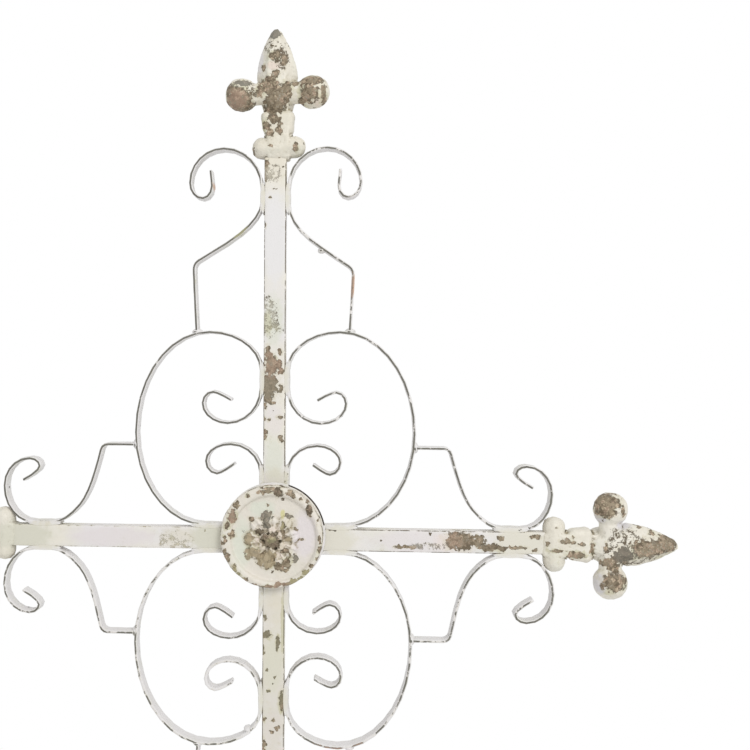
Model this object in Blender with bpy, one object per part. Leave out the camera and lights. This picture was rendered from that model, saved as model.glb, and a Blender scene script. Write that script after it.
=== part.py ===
"""Scrolled wall cross of wrought iron: flat-faced bars cross behind a cast medallion, with cast
fleur-de-lis ends and scrolls of flat strip bent on edge.

Every back face lies on the wall plane, y = 0. The front looks along -Y, +Z is up, and the bars
cross on the origin. Lengths are in metres and headings in degrees, 0 along a bar and 90 away from it.
"""

import math

import bmesh
import bpy
from mathutils import Matrix, Vector

# Fit between pieces that touch
GAP = 0.0003
WELD = 0.000001

# Bars
BAR_WIDTH = 0.016
BAR_DEPTH = 0.012
TOP_ARM = 0.272
SIDE_ARM = 0.189
BOTTOM_ARM = 0.454

# Strip that every scroll is bent from, as deep as the bars
STRIP = 0.0026
FLATNESS = 0.00022

# Big C scroll in each quarter of the cross
C_REACH = 0.1003
C_HEIGHT = 0.1488
C_TOUCH = 0.115
C_TOUCH_LENGTH = 0.012
C_CURL = 0.042
C_REST = 0.049
C_END = 0.031

# Small scroll beside the medallion
SMALL_CURL = 0.0394
SMALL_RISE = 0.047
SMALL_END = 0.031

# End scrolls on the side arms
SIDE_CURL = 0.0467
SIDE_TOUCH_LENGTH = 0.013
SIDE_SPREAD = 0.0365
SIDE_LEG_OFF = 0.0577

# End scrolls on the top and bottom arms
TALL_CURL = 0.0519
TALL_SETBACK = 0.0044
TALL_TOUCH_LENGTH = 0.010
TALL_SPREAD = 0.0465
TALL_LEG_OFF = 0.0472
TALL_LEG_LEAN = 0.0022
ELBOW = 0.004

# Cast fleur-de-lis, with a flat back
FINIAL_LENGTH = 0.0952
SHANK_LENGTH = 0.0395
COLLAR_WIDTH = 0.0388
COLLAR_HEIGHT = 0.0148
COLLAR_DEPTH = 0.0212
COLLAR_SETBACK = 0.0022
COLLAR_CLEARANCE = 0.0042
BEAD_WIDTH = 0.0262
BEAD_HEIGHT = 0.018
BEAD_DEPTH = 0.0195
BEAD_LOW = 0.0173
ROLL_CENTRE = 0.0064
BALL_RADIUS = 0.0118
BALL_SPREAD = 0.0256
BALL_CENTRE = 0.0095
BALL_ALONG = 0.0479
BALL_ARM_HEIGHT = 0.0163
BALL_ARM_DEPTH = 0.0144
PETAL_WIDTH = 0.0304
PETAL_DEPTH = 0.017

# Cast medallion
MEDALLION_RADIUS = 0.0373
MEDALLION_SHIFT = -0.0014
MEDALLION_RISE = 0.0025
MEDALLION_EDGE = 0.0055
MEDALLION_RIM = 0.0055
MEDALLION_RIM_HEIGHT = 0.0028
FIELD_DROP = 0.0012
ROSETTE_RADIUS = 0.0205
ROSETTE_HEIGHT = 0.0045
ROSETTE_PETALS = 9
ROSETTE_SHIFT = -0.0012
ROSETTE_DROP = 0.0034
BOSS_RADIUS = 0.0058
BOSS_HEIGHT = 0.004

# Hand work: how far each scroll was bent away from its pattern, and how each casting sits on its bar
BENT = {
    "c_scroll_lower_left": {"curl": -0.0025, "touch": 0.0036},
    "c_scroll_lower_right": {"curl": -0.003, "touch": -0.0004, "reach": -0.0022},
    "small_scroll_upper_right": {"curl": -0.0014},
    "small_scroll_lower_left": {"curl": 0.0014, "touch": 0.003},
    "small_scroll_lower_right": {"curl": -0.001, "touch": -0.0005},
    "left_end_scroll_upper": {"leg": 0.0011},
    "left_end_scroll_lower": {"leg": 0.0035},
    "right_end_scroll_upper": {"curl": -0.0022, "leg": 0.0002},
    "right_end_scroll_lower": {"leg": 0.005},
    "top_end_scroll_left": {"leg": 0.0018, "spread": -0.0026},
    "top_end_scroll_right": {"leg": -0.0006, "spread": 0.0014},
}
SEATED = {
    "finial_top": {"shift": 0.0024, "tilt": -1.6},
    "finial_right": {"shift": 0.0011, "tilt": 0.0},
    "finial_left": {"shift": 0.0006, "tilt": 0.0},
}

PAINT = (0.75, 0.71, 0.64, 1.0)
PAINT_ROUGHNESS = 0.55

touch = BAR_WIDTH / 2 + GAP + STRIP / 2
half_strip = STRIP / 2


def clear_scene():
    for obj in list(bpy.data.objects):
        bpy.data.objects.remove(obj, do_unlink=True)


def paint(name, tint):
    """Old off-white paint, a little lighter or darker from piece to piece."""
    material = bpy.data.materials.new(name)
    material.use_nodes = True
    shader = material.node_tree.nodes["Principled BSDF"]
    shader.inputs["Base Color"].default_value = [c * tint for c in PAINT[:3]] + [1.0]
    shader.inputs["Roughness"].default_value = PAINT_ROUGHNESS
    shader.inputs["Metallic"].default_value = 0.0
    return material


def object_of(bm, name, tint=1.0):
    bmesh.ops.recalc_face_normals(bm, faces=bm.faces)
    mesh = bpy.data.meshes.new(name)
    bm.to_mesh(mesh)
    bm.free()
    mesh.shade_smooth()
    mesh.set_sharp_from_angle(angle=math.radians(30))
    mesh.materials.append(paint(name, tint))
    obj = bpy.data.objects.new(name, mesh)
    bpy.context.scene.collection.objects.link(obj)
    return obj


def block(bm, low, high):
    """A square-edged block between two corners."""
    size = Vector(high) - Vector(low)
    centre = (Vector(high) + Vector(low)) / 2
    matrix = Matrix.Translation(centre) @ Matrix.Diagonal((*size, 1))
    bmesh.ops.create_cube(bm, size=1, matrix=matrix)


def bar(name, low_x, high_x, low_z, high_z):
    bm = bmesh.new()
    block(bm, (low_x, -BAR_DEPTH, low_z), (high_x, 0, high_z))
    return object_of(bm, name)


# A scroll is a list of stations (along, off, heading) that the strip passes through. Between two
# stations it follows one smooth bend, which is a quarter of an ellipse where it turns by 90 degrees.


def direction(heading):
    return Vector((math.cos(math.radians(heading)), math.sin(math.radians(heading))))


def bend(start, end):
    """Points after start and up to end, on a curve that keeps both headings."""
    first, last = Vector(start[:2]), Vector(end[:2])
    leaving, arriving = direction(start[2]), direction(end[2])
    turn = abs((end[2] - start[2] + 180) % 360 - 180)
    span = last - first
    crossing = leaving.cross(arriving)
    if turn < 1 and abs(leaving.cross(span.normalized())) < 0.01:
        return [last]
    before = after = span.length / 3
    if turn > 5:
        to_corner = span.cross(arriving) / crossing
        from_corner = leaving.cross(span) / crossing
        if to_corner > 0 and from_corner > 0:
            quarter = math.radians(turn) / 4
            fullness = 4 / 3 * math.tan(quarter) / math.tan(2 * quarter)
            before, after = fullness * to_corner, fullness * from_corner
    hands = (first, first + leaving * before, last - arriving * after, last)
    radius = max(span.length / 2 / max(math.sin(math.radians(turn) / 2), 0.2), 4 * FLATNESS)
    step = 2 * math.degrees(math.acos(1 - FLATNESS / radius))
    steps = max(3, round(turn / step))
    points = []
    for i in range(1, steps + 1):
        t = i / steps
        weights = ((1 - t) ** 3, 3 * t * (1 - t) ** 2, 3 * t * t * (1 - t), t**3)
        points.append(sum((w * h for w, h in zip(weights, hands)), Vector((0, 0))))
    return points


def route(stations):
    points = [Vector(stations[0][:2])]
    for start, end in zip(stations, stations[1:]):
        points += bend(start, end)
    return points


def edge_of(points, side):
    """The strip's face on one side of its centre line: side 1 is left of the heading, -1 right."""
    found = []
    for i, point in enumerate(points):
        before = (point - points[i - 1]).normalized() if i else None
        after = (points[i + 1] - point).normalized() if i + 1 < len(points) else before
        before = before or after
        mean = (before + after).normalized()
        mitre = half_strip / max(mean.dot(after), 0.5)
        found.append(point + Vector((-mean.y, mean.x)) * mitre * side)
    return found


def strip(name, points, place):
    """A strip on edge along points, which place turns into (x, z)."""
    bm = bmesh.new()
    rings = []
    for left, right in zip(edge_of(points, 1), edge_of(points, -1)):
        corners = [(left, 0), (left, -BAR_DEPTH), (right, -BAR_DEPTH), (right, 0)]
        ring = []
        for flat, depth in corners:
            x, z = place(flat)
            ring.append(bm.verts.new((x, depth, z)))
        rings.append(ring)
    for near, far in zip(rings, rings[1:]):
        for i in range(4):
            j = (i + 1) % 4
            bm.faces.new((near[i], near[j], far[j], far[i]))
    bm.faces.new(rings[0])
    bm.faces.new(rings[-1])
    return object_of(bm, name)


# Scroll patterns, in the upper right quarter: x is away from the upright and z from the crossbar


def c_scroll_route(bent):
    curl = C_CURL + bent.get("curl", 0)
    reach = C_REACH + bent.get("reach", 0)
    low = C_TOUCH - C_TOUCH_LENGTH / 2 + bent.get("touch", 0)
    high = C_TOUCH + C_TOUCH_LENGTH / 2 + bent.get("touch", 0)
    return route(
        [
            (touch + 0.50 * curl, low - 0.226 * curl, 31),
            (touch + 0.827 * curl, low - 0.081 * curl, 0),
            (touch + curl, low - 0.274 * curl, -90),
            (touch + 0.57 * curl, low - 0.614 * curl, 180),
            (touch, low, 90),
            (touch, high, 90),
            (0.47 * reach, C_HEIGHT, 0),
            (reach, 0.51 * C_HEIGHT, -90),
            (C_REST, touch, 180),
            (C_END, touch, 180),
        ]
    )


def small_scroll_route(bent):
    curl = SMALL_CURL + bent.get("curl", 0)
    rise = SMALL_RISE + bent.get("touch", 0)
    return route(
        [
            (touch + 0.476 * curl, rise + 0.178 * curl, -37),
            (touch + 0.803 * curl, rise - 0.005 * curl, 0),
            (touch + curl, rise + 0.216 * curl, 90),
            (touch + 0.557 * curl, rise + 0.533 * curl, 180),
            (touch, rise, -90),
            (touch, SMALL_END, -90),
        ]
    )


# End scroll patterns: the first number is along the arm from the crossing, the second off the arm


def leg_foot(c_face, off):
    """Where a leg at this distance off the arm meets the C scroll's outer face."""
    reach = []
    for side in (-half_strip, 0, half_strip):
        for (a, b), (c, d) in zip(c_face, c_face[1:]):
            if min(b, d) <= off + side <= max(b, d) and b != d:
                reach.append(a + (c - a) * (off + side - b) / (d - b))
    return max(reach) + GAP


def side_scroll_route(arm, c_face, bent):
    curl = SIDE_CURL + bent.get("curl", 0)
    contact = arm + COLLAR_SETBACK - (COLLAR_WIDTH - BAR_WIDTH) / 2 - COLLAR_CLEARANCE
    leaves = contact - SIDE_TOUCH_LENGTH
    elbow = leaves - SIDE_SPREAD
    leg = touch + SIDE_LEG_OFF + bent.get("leg", 0) - half_strip
    foot = leg_foot(c_face, leg)
    return route(
        [
            (contact + 0.186 * curl, touch + 0.652 * curl, 152),
            (contact - 0.088 * curl, touch + 0.877 * curl, 90),
            (contact + 0.075 * curl, touch + curl, 0),
            (contact + 0.471 * curl, touch + 0.566 * curl, -90),
            (contact, touch, 180),
            (leaves, touch, 180),
            (elbow + 0.42 * SIDE_SPREAD, touch + 0.23 * SIDE_LEG_OFF, 129),
            (elbow + 0.18 * SIDE_SPREAD, touch + 0.53 * SIDE_LEG_OFF, 109),
            (elbow, leg - ELBOW, 104),
            (elbow - 1.3 * ELBOW, leg, 180),
            (foot, leg, 180),
        ]
    )


def tall_scroll_route(arm, c_face, bent):
    curl = TALL_CURL + bent.get("curl", 0)
    contact = arm - (COLLAR_WIDTH - BAR_WIDTH) / 2 - COLLAR_CLEARANCE - TALL_SETBACK
    leaves = contact - TALL_TOUCH_LENGTH
    elbow = leaves - TALL_SPREAD - bent.get("spread", 0)
    leg = touch + TALL_LEG_OFF + bent.get("leg", 0)
    foot = leg_foot(c_face, leg - TALL_LEG_LEAN)
    return route(
        [
            (contact + 0.27 * curl, touch + 0.716 * curl, 182),
            (contact + 0.04 * curl, touch + 0.695 * curl, 180),
            (contact - 0.127 * curl, touch + 0.824 * curl, 90),
            (contact + 0.089 * curl, touch + curl, 0),
            (contact + 0.56 * curl, touch + 0.53 * curl, -90),
            (contact, touch, 180),
            (leaves, touch, 180),
            (elbow + 0.46 * TALL_SPREAD, touch + 0.33 * TALL_LEG_OFF, 128),
            (elbow + 0.5 * ELBOW, leg - 0.8 * ELBOW, 123),
            (elbow - ELBOW, leg, 182),
            (foot, leg - TALL_LEG_LEAN, 183),
        ]
    )


def across_place(left, low):
    """Puts (x, z) or (along, off) of the upper right quarter into the left or lower one."""
    return lambda p: (-p[0] if left else p[0], -p[1] if low else p[1])


def upright_place(left, low):
    """Puts (along, off) on the top or bottom arm."""
    return lambda p: (-p[1] if left else p[1], -p[0] if low else p[0])


def make_quarter(left, low):
    """The C scroll, the small scroll and the two end scrolls of one quarter of the cross."""
    hand = "left" if left else "right"
    level = "lower" if low else "upper"
    end = "bottom" if low else "top"
    across = across_place(left, low)

    name = f"c_scroll_{level}_{hand}"
    c_route = c_scroll_route(BENT.get(name, {}))
    outer = edge_of(c_route, 1)
    beside = [(p.x, p.y) for p in outer]
    above = [(p.y, p.x) for p in outer]
    strip(name, c_route, across)

    name = f"small_scroll_{level}_{hand}"
    strip(name, small_scroll_route(BENT.get(name, {})), across)

    name = f"{hand}_end_scroll_{level}"
    strip(name, side_scroll_route(SIDE_ARM, beside, BENT.get(name, {})), across)

    name = f"{end}_end_scroll_{hand}"
    arm = BOTTOM_ARM if low else TOP_ARM
    strip(name, tall_scroll_route(arm, above, BENT.get(name, {})), upright_place(left, low))


def make_scrolls():
    for left in (True, False):
        for low in (False, True):
            make_quarter(left, low)


# Cast pieces


def loft(bm, rings):
    """A closed skin over rings of points, all with as many points."""
    loops = [[bm.verts.new(point) for point in ring] for ring in rings]
    for near, far in zip(loops, loops[1:]):
        for i in range(len(near)):
            j = (i + 1) % len(near)
            bm.faces.new((near[i], near[j], far[j], far[i]))
    bm.faces.new(loops[0])
    bm.faces.new(loops[-1])


def lump(bm):
    """One simple closed shape as an object, to be joined into a casting."""
    bmesh.ops.recalc_face_normals(bm, faces=bm.faces)
    mesh = bpy.data.meshes.new("lump")
    bm.to_mesh(mesh)
    bm.free()
    obj = bpy.data.objects.new("lump", mesh)
    bpy.context.scene.collection.objects.link(obj)
    return obj


def block_lump(low, high):
    bm = bmesh.new()
    block(bm, low, high)
    return lump(bm)


def roll(width, height, depth, low, around, levels=5):
    """A fat round-ended roll across the finial, from z = low upwards."""
    radius = height / 2
    rings = []
    for i in range(levels + 1):
        angle = math.radians(-90 + 180 * i / levels)
        bulge = radius * math.cos(angle)
        z = low + radius + radius * math.sin(angle)
        ring = []
        for j in range(around):
            turn = 2 * math.pi * j / around
            x = (width / 2 - radius + bulge) * math.cos(turn)
            y = (depth / 2 - radius + bulge) * math.sin(turn)
            ring.append((x, y - ROLL_CENTRE, z))
        rings.append(ring)
    bm = bmesh.new()
    loft(bm, rings)
    return lump(bm)


def petal():
    """The middle petal and the body below it: a flat-faced bud with a raised middle band."""
    # Height up the casting, then width and depth, all as shares of the whole
    shape = (
        (0.36, 0.60, 0.72),
        (0.40, 0.72, 0.86),
        (0.46, 0.87, 0.95),
        (0.59, 0.91, 0.95),
        (0.64, 1.00, 0.92),
        (0.715, 0.93, 0.98),
        (0.79, 0.79, 0.96),
        (0.86, 0.61, 0.86),
        (0.93, 0.36, 0.68),
        (0.98, 0.17, 0.50),
        (1.00, 0.06, 0.42),
    )
    behind = BAR_DEPTH / 10
    rings = []
    for height, width, depth in shape:
        z = FINIAL_LENGTH * height
        half = PETAL_WIDTH / 2 * width
        front = -PETAL_DEPTH * depth
        across = (
            (-1.0, 0.42 * front),
            (-0.55, 0.9 * front),
            (0.0, front),
            (0.55, 0.9 * front),
            (1.0, 0.42 * front),
            (0.7, behind),
            (-0.7, behind),
        )
        rings.append([(half * share, y, z) for share, y in across])
    bm = bmesh.new()
    loft(bm, rings)
    return lump(bm)


def ball_arm():
    """The oval stem that joins the two balls through the body."""
    bm = bmesh.new()
    across = Matrix.Translation((0, -BALL_CENTRE, BALL_ALONG)) @ Matrix.Rotation(math.pi / 2, 4, "Y")
    oval = Matrix.Diagonal((BALL_ARM_HEIGHT / 2, BALL_ARM_DEPTH / 2, 1, 1))
    bmesh.ops.create_cone(
        bm,
        cap_ends=True,
        segments=8,
        radius1=1,
        radius2=1,
        depth=2 * BALL_SPREAD,
        matrix=across @ oval,
    )
    return lump(bm)


def ball(side):
    bm = bmesh.new()
    place = Matrix.Translation((side * BALL_SPREAD, -BALL_CENTRE, BALL_ALONG))
    bmesh.ops.create_uvsphere(bm, u_segments=12, v_segments=8, radius=BALL_RADIUS, matrix=place)
    return lump(bm)


def finial_mesh():
    """One casting, standing on z = 0 with its axis along +Z and its back cut flat at y = 0."""
    half = BAR_WIDTH / 2
    behind = BAR_DEPTH / 4
    lumps = [
        block_lump((-half, -BAR_DEPTH, 0), (half, behind, SHANK_LENGTH)),
        roll(COLLAR_WIDTH, COLLAR_HEIGHT, COLLAR_DEPTH, COLLAR_SETBACK, around=18),
        roll(BEAD_WIDTH, BEAD_HEIGHT, BEAD_DEPTH, BEAD_LOW, around=14),
        petal(),
        ball_arm(),
        ball(-1),
        ball(1),
    ]
    wall = block_lump((-0.1, 0, -0.1), (0.1, 0.1, 0.2))
    whole = lumps[0]
    for other in lumps[1:] + [wall]:
        modifier = whole.modifiers.new("join", "BOOLEAN")
        modifier.operation = "DIFFERENCE" if other == wall else "UNION"
        modifier.solver = "MANIFOLD"
        modifier.object = other
    bpy.context.view_layer.update()
    graph = bpy.context.evaluated_depsgraph_get()
    joined = bpy.data.meshes.new_from_object(whole.evaluated_get(graph))
    for obj in lumps + [wall]:
        bpy.data.objects.remove(obj, do_unlink=True)
    bm = bmesh.new()
    bm.from_mesh(joined)
    bpy.data.meshes.remove(joined)
    bmesh.ops.remove_doubles(bm, verts=bm.verts, dist=WELD)
    bmesh.ops.dissolve_degenerate(bm, edges=bm.edges, dist=WELD)
    return bm


def make_finials():
    ends = (
        ("finial_top", 0, TOP_ARM),
        ("finial_right", 90, SIDE_ARM),
        ("finial_bottom", 180, BOTTOM_ARM),
        ("finial_left", 270, SIDE_ARM),
    )
    for name, turn, arm in ends:
        seat = SEATED.get(name, {})
        tilt = math.radians(seat.get("tilt", 0))
        lift = GAP + BAR_WIDTH / 2 * math.tan(abs(tilt))
        obj = object_of(finial_mesh(), name, 0.9)
        obj.rotation_euler = (0, math.radians(turn) + tilt, 0)
        place = Vector((seat.get("shift", 0), 0, arm + lift))
        obj.location = Matrix.Rotation(math.radians(turn), 3, "Y") @ place


def medallion_height(radius, angle):
    """How far the medallion stands off its flat back."""
    rim_inner = MEDALLION_RADIUS - MEDALLION_RIM
    if radius > rim_inner:
        across = (radius - rim_inner) / MEDALLION_RIM
        swell = math.sin(math.pi * min(0.97, 0.1 + 0.9 * across)) ** 0.7
        return MEDALLION_EDGE + MEDALLION_RIM_HEIGHT * swell
    field = MEDALLION_EDGE - FIELD_DROP * math.cos(math.pi / 2 * radius / rim_inner)
    if radius > ROSETTE_RADIUS:
        return field
    lobe = abs(math.cos(ROSETTE_PETALS / 2 * angle)) ** 0.6
    swell = math.sin(math.pi * (radius / ROSETTE_RADIUS) ** 0.8) ** 0.7
    leaf = ROSETTE_HEIGHT * swell * (0.35 + 0.65 * lobe)
    boss = 0
    if radius < BOSS_RADIUS:
        boss = BOSS_HEIGHT * math.sqrt(1 - (radius / BOSS_RADIUS) ** 2)
    return field + max(leaf, boss)


def make_medallion():
    """A round plaque on the bars' front face: rolled rim, dished field and a petalled rosette."""
    around = 5 * ROSETTE_PETALS
    back = -BAR_DEPTH - GAP
    rim_inner = MEDALLION_RADIUS - MEDALLION_RIM
    radii = [0.5 * BOSS_RADIUS, 0.98 * BOSS_RADIUS]
    radii += [ROSETTE_RADIUS * share for share in (0.42, 0.62, 0.82, 1.0)]
    radii += [rim_inner + MEDALLION_RIM * share for share in (0.0, 0.25, 0.6, 1.0)]

    def centre(radius):
        if radius > ROSETTE_RADIUS:
            return MEDALLION_SHIFT, MEDALLION_RISE
        return MEDALLION_SHIFT + ROSETTE_SHIFT, MEDALLION_RISE - ROSETTE_DROP

    def circle(radius, front):
        ring = []
        for i in range(around):
            angle = 2 * math.pi * i / around
            x = centre(radius)[0] + radius * math.cos(angle)
            z = centre(radius)[1] + radius * math.sin(angle)
            y = back - medallion_height(radius, angle) if front else back
            ring.append(bm.verts.new((x, y, z)))
        return ring

    bm = bmesh.new()
    hub = bm.verts.new((centre(0)[0], back - medallion_height(0, 0), centre(0)[1]))
    rings = [circle(radius, front=True) for radius in radii]
    rings.append(circle(MEDALLION_RADIUS, front=False))
    for i in range(around):
        j = (i + 1) % around
        bm.faces.new((hub, rings[0][i], rings[0][j]))
        for near, far in zip(rings, rings[1:]):
            bm.faces.new((near[i], near[j], far[j], far[i]))
    bm.faces.new(rings[-1])
    object_of(bm, "medallion", 0.95)


def make_bars():
    half = BAR_WIDTH / 2
    bar("upright_bar", -half, half, -BOTTOM_ARM, TOP_ARM)
    bar("crossbar_left", -SIDE_ARM, -half - GAP, -half, half)
    bar("crossbar_right", half + GAP, SIDE_ARM, -half, half)


clear_scene()
make_bars()
make_scrolls()
make_finials()
make_medallion()
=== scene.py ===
"""The wall cross dressed for its picture: bars and strips with softened, rubbed edges, full castings,
and old off-white paint that has worn and chipped down to brown iron."""

import math

import bpy
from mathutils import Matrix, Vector


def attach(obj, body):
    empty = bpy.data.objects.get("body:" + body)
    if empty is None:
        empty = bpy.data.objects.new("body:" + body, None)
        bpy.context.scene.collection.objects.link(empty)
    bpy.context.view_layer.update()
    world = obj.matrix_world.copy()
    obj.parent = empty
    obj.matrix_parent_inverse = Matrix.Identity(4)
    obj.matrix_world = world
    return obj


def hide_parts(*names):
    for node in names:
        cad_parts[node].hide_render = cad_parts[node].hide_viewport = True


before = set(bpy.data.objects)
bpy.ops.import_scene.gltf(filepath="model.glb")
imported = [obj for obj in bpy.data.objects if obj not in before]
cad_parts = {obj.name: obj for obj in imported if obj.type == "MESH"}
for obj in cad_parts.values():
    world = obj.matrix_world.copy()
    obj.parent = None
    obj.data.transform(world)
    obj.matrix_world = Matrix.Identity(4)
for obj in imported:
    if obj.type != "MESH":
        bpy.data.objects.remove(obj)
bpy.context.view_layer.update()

MM = 0.001

# Sizes as in the solids
BAR_WIDTH = 16 * MM
BAR_DEPTH = 12 * MM
TOP_ARM = 272 * MM
SIDE_ARM = 189 * MM
BOTTOM_ARM = 454 * MM
ROLL_CENTRE = 6.4 * MM
BALL_RADIUS = 11.8 * MM
BALL_SPREAD = 25.6 * MM
BALL_CENTRE = 9.5 * MM
BALL_ALONG = 47.9 * MM
MEDALLION_RADIUS = 37.3 * MM
MEDALLION_BACK = -12.3 * MM
MEDALLION_CENTRE = Vector((-1.4, 0, 2.5)) * MM
ROSETTE_CENTRE = Vector((-0.8, 0, -0.5)) * MM
GAP = 0.3 * MM

# Where the scrolls touch the bars, as in the solids: from the crossing, or back from the arm's end
C_TOUCH = 115 * MM
C_FOOT = 47 * MM
SMALL_TOUCH = 43 * MM
TALL_END_TOUCH = 27 * MM
SIDE_END_TOUCH = 21 * MM

# How far each casting sits off its arm's middle, and its tilt in degrees, as in the solids
SEATED = {
    "finial_top": (2.4 * MM, -1.6),
    "finial_right": (1.1 * MM, 0.0),
    "finial_bottom": (0.0, 0.0),
    "finial_left": (0.6 * MM, 0.0),
}

# Sizes of what only the finished pieces have
INTO_CASTING = 3 * MM
WELD_OFF = BAR_WIDTH / 2 + 0.9 * MM
WELD_HALF = 1.9 * MM
LIP_RADIUS = 37 * MM
LIP_CENTRE = Vector((0.2, 0, 3.8)) * MM
RIM_WIDTH = 7.6 * MM


# Shaping


def take(*objects):
    """Makes these the only selected objects, the first one active."""
    bpy.ops.object.select_all(action="DESELECT")
    for obj in objects:
        obj.select_set(True)
    bpy.context.view_layer.objects.active = objects[0]


def choose(obj, test, by="VERT"):
    """Goes into edit mode with the vertices selected whose place passes the test, or the edges whose two
    ends pass it."""
    take(obj)
    mesh = obj.data
    for part in (*mesh.polygons, *mesh.edges, *mesh.vertices):
        part.select = False
    bpy.context.tool_settings.mesh_select_mode = (by == "VERT", by == "EDGE", False)
    if by == "VERT":
        for vertex in mesh.vertices:
            vertex.select = bool(test(vertex.co))
    else:
        for edge in mesh.edges:
            start, end = (mesh.vertices[i].co for i in edge.vertices)
            edge.select = bool(test(start, end))
    bpy.ops.object.mode_set(mode="EDIT")


def leave():
    bpy.ops.object.mode_set(mode="OBJECT")


def settle(obj):
    """Puts the object's place, turn and size into its mesh."""
    take(obj)
    bpy.ops.object.transform_apply(location=True, rotation=True, scale=True)


def apply(obj, kind, **settings):
    take(obj)
    modifier = obj.modifiers.new(kind.lower(), kind)
    for key, value in settings.items():
        setattr(modifier, key, value)
    bpy.ops.object.modifier_apply(modifier=modifier.name)


def roughen(obj, grain, depth):
    """Sinks the skin by up to the depth, in lumps about as wide as the grain, and never lifts it."""
    texture = bpy.data.textures.new("skin", "CLOUDS")
    texture.noise_scale = grain
    texture.noise_depth = 3
    texture.intensity = 0.85
    apply(obj, "DISPLACE", texture=texture, strength=depth, mid_level=1.0, texture_coords="LOCAL")


def copied(obj, name):
    """A copy with a mesh of its own."""
    made = obj.copy()
    made.data = obj.data.copy()
    made.name = name
    bpy.context.scene.collection.objects.link(made)
    return made


def hand_in(piece, material, slot, *nodes):
    piece.data.materials.clear()
    piece.data.materials.append(material)
    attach(piece, "root")
    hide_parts(*nodes)


# Bars and strips


def node_copy(node):
    """A copy of the node's solid with its loose triangles merged into clean faces."""
    piece = bpy.data.objects.new("painted_" + node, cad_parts[node].data.copy())
    bpy.context.scene.collection.objects.link(piece)
    choose(piece, lambda place: True)
    bpy.ops.mesh.remove_doubles(threshold=0.01 * MM)
    bpy.ops.mesh.tris_convert_to_quads(face_threshold=math.radians(50), shape_threshold=math.radians(50))
    leave()
    return piece


def soften(piece, corner, segments, grain, depth, pitch):
    """Rounds the corners, then gives the piece an uneven skin, cut up about as fine as the pitch."""
    apply(piece, "BEVEL", width=corner, segments=segments, limit_method="ANGLE", angle_limit=math.radians(50))
    longest = max(piece.dimensions)
    while longest > pitch:
        choose(piece, lambda start, end: (start - end).length > pitch, by="EDGE")
        bpy.ops.mesh.subdivide(number_cuts=1)
        leave()
        longest /= 2
    roughen(piece, grain, depth)


def smooth(piece, angle):
    take(piece)
    bpy.ops.object.shade_smooth_by_angle(angle=math.radians(angle))


def lengthen(bar, axis, end):
    """Runs one end of a bar further, into the casting that it is welded to."""
    sign = 1 if end > 0 else -1
    choose(bar, lambda place: place[axis] * sign > abs(end) - 0.1 * MM)
    move = Vector((0, 0, 0))
    move[axis] = sign * INTO_CASTING
    bpy.ops.transform.translate(value=move)
    leave()


def weld(x, z, wide, high):
    """A run of weld under thick paint, long and oval, level with the front of what it joins."""
    depth, slope = BAR_DEPTH - 0.8 * MM, 0.75 * MM
    bpy.ops.mesh.primitive_cylinder_add(
        vertices=40, radius=1, depth=depth, end_fill_type="NGON", rotation=(math.pi / 2, 0, 0)
    )
    run = bpy.context.active_object
    run.scale = (wide, high, 1)
    run.location = (x, -depth / 2, z)
    settle(run)
    choose(run, lambda place: place.y < -0.9 * depth)
    bpy.ops.mesh.extrude_region_move(TRANSFORM_OT_translate={"value": (0, -slope, 0)})
    bpy.ops.transform.resize(value=(0.8, 1, 0.95), center_override=(x, -depth, z))
    leave()
    return run


def drop(x, z, wide, high):
    """A round drop of weld or paint that wraps a strip."""
    bpy.ops.mesh.primitive_uv_sphere_add(segments=24, ring_count=16, radius=1)
    lump = bpy.context.active_object
    lump.scale = (wide, 6.3 * MM, high)
    lump.location = (x, -BAR_DEPTH / 2 - 0.4 * MM, z)
    settle(lump)
    roughen(lump, grain=3 * MM, depth=0.7 * MM)
    return lump


def foot_of(scroll, axis):
    """The middle of the scroll's end that is nearest to the crossing."""
    nearest = min(abs(vertex.co[axis]) for vertex in scroll.data.vertices)
    found = [vertex.co for vertex in scroll.data.vertices if abs(vertex.co[axis]) < nearest + 0.2 * MM]
    return sum(found, Vector()) / len(found)


def welds_of(node, scroll):
    """The welds that hold one scroll to its bar, and an end scroll's leg to the C scroll."""
    across = -1 if "left" in node else 1
    up = -1 if "lower" in node or "bottom" in node else 1
    beside = across * WELD_OFF
    above = up * WELD_OFF
    if node.startswith("c_scroll"):
        return [
            weld(beside, up * C_TOUCH, WELD_HALF, 12 * MM),
            weld(across * C_FOOT, above, 13 * MM, WELD_HALF),
        ]
    if node.startswith("small_scroll"):
        return [weld(beside, up * SMALL_TOUCH, WELD_HALF, 10 * MM)]
    if node.startswith(("top", "bottom")):
        foot = foot_of(scroll, 2)
        arm = TOP_ARM if up > 0 else BOTTOM_ARM
        return [
            weld(beside, up * (arm - TALL_END_TOUCH), WELD_HALF, 11 * MM),
            drop(foot.x, foot.z - up * 0.5 * MM, 4.4 * MM, 2.8 * MM),
        ]
    foot = foot_of(scroll, 0)
    return [
        weld(across * (SIDE_ARM - SIDE_END_TOUCH), above, 12 * MM, WELD_HALF),
        drop(foot.x - across * 0.5 * MM, foot.z, 2.8 * MM, 4.4 * MM),
    ]


# Thick drops of old paint on single scrolls: x, z
PAINT_DROPS = {"c_scroll_lower_left": (-18.5, -138), "top_end_scroll_right": (33.4, 207.5)}


def painted_scroll(node):
    scroll = node_copy(node)
    welds = welds_of(node, scroll)
    if node in PAINT_DROPS:
        x, z = PAINT_DROPS[node]
        welds.append(drop(x * MM, z * MM, 3.4 * MM, 2.5 * MM))
    soften(scroll, corner=0.9 * MM, segments=3, grain=8 * MM, depth=0.35 * MM, pitch=3 * MM)
    take(scroll, *welds)
    bpy.ops.object.join()
    smooth(scroll, 45)
    return scroll


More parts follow.
